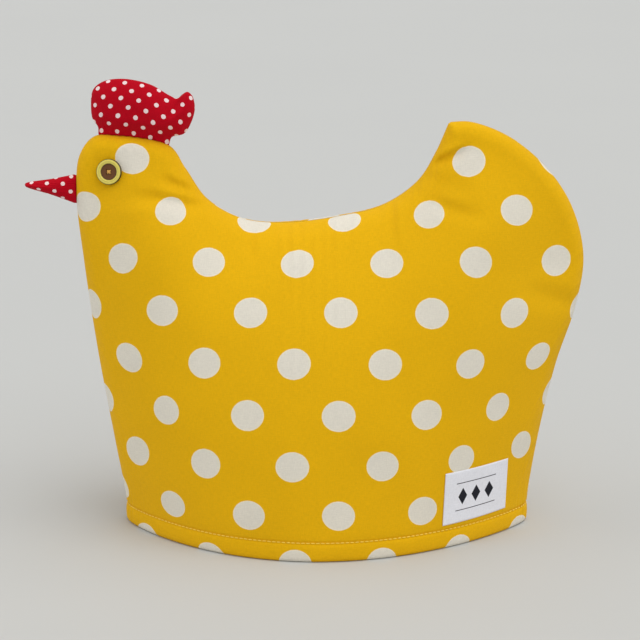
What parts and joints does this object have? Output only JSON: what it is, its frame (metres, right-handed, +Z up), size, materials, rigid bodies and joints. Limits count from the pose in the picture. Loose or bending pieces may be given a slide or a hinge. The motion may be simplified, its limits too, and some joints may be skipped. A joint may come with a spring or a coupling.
{
  "type": "tea cosy",
  "caption": "Hen-shaped padded cotton tea cosy, open at its hem, with a stuffed comb and beak, button eyes and a cloth label.",
  "frame": {"origin": "on the surface that the hem stands on, below the middle of the whole bounding box", "axes": "+X along the bird's length from beak to tail, +Y from the near panel to the far one, square to the seam, +Z up from the hem"},
  "size_m": [0.331, 0.1506, 0.2715],
  "materials": {
    "yellow_cotton": "matt printed cotton, cream dots",
    "red_cotton": "matt printed cotton, white pin dots",
    "white_cotton": "matt woven tape",
    "button_horn": "satin, lime rim round a brown dish"
  },
  "bodies": {
    "root": {"panel_near": "yellow_cotton", "panel_far": "yellow_cotton", "comb": "red_cotton", "beak": "red_cotton", "eye_button_near": "button_horn", "eye_button_far": "button_horn", "label": "white_cotton"}
  },
  "joints": []
}
